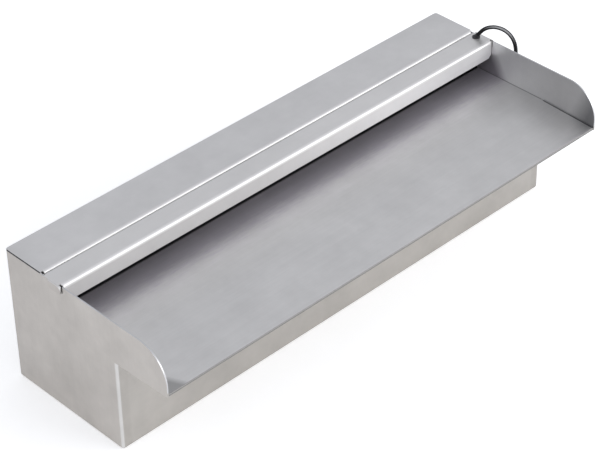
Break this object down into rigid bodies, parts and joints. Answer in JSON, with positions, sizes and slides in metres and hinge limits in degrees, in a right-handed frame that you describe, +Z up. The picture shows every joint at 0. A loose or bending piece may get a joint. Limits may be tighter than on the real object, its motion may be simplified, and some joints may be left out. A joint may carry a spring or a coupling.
{
  "type": "waterfall spillway",
  "caption": "Stainless waterfall spillway: a welded basin with an overhanging lip between rounded cheeks, a lift-off light hood over the outlet slot, a rear threaded inlet and a black lead.",
  "frame": {"origin": "centre of the basin's underside, midway between the side plates and between the rear and front walls", "axes": "+X along the spillway towards the end where the cable leaves, -Y the way the water leaves over the lip, +Z up"},
  "size_m": [0.6766, 0.2525, 0.1755],
  "materials": {
    "basin_sheet": "fine mill-brushed stainless sheet, folded and welded",
    "lip_sheet": "fine brushed stainless sheet, grain along the lip",
    "deck_sheet": "fine brushed stainless sheet",
    "hood_sheet": "fine brushed stainless sheet with bright folds",
    "baffle_sheet": "punched stainless sheet",
    "turned_steel": "turned stainless, welded at its root",
    "clip_steel": "spring stainless strip",
    "clear_sleeve": "clear flexible tube",
    "white_board": "white solder mask",
    "led_phosphor": "yellow phosphor under clear resin",
    "resistor_ceramic": "dark chip ceramic",
    "cap_silicone": "translucent white silicone",
    "grommet_rubber": "black rubber",
    "cable_sheath": "black flexible sheath with a soft sheen",
    "plug_soft": "overmoulded black strain relief",
    "plug_hard": "fine-textured black nylon",
    "pin_brass": "bright brass",
    "seal_rubber": "red-brown sealing ring"
  },
  "bodies": {
    "basin": {"basin_wrap": "basin_sheet", "left_side_plate": "basin_sheet", "right_side_plate": "basin_sheet", "spill_lip": "lip_sheet", "rear_deck": "deck_sheet", "flow_baffle": "baffle_sheet", "inlet_socket": "turned_steel", "led_cable": "cable_sheath", "cable_coil": "cable_sheath", "cable_tail": "cable_sheath", "plug_boot": "plug_soft", "plug_body": "plug_hard", "plug_pins": "pin_brass", "plug_seal": "seal_rubber"},
    "hood": {"light_hood": "hood_sheet", "led_sleeve": "clear_sleeve", "led_board": "white_board", "led_chips": "led_phosphor", "led_resistors": "resistor_ceramic", "blind_end_cap": "cap_silicone", "cable_end_cap": "cap_silicone", "sleeve_clips": "clip_steel", "cable_grommet": "grommet_rubber"},
    "collar": {"plug_collar": "plug_hard"}
  },
  "joints": [
    {"name": "hood_lift", "type": "slide", "parent": "basin", "child": "hood", "axis": [0, 0, 1], "range_m": [0, 0.06], "deforming": ["led_cable"]},
    {"name": "collar_turn", "type": "hinge", "parent": "basin", "child": "collar", "pos_m": [0.3115, 0.0831, 0.0082], "axis": [0, 1, 0], "continuous": true}
  ]
}
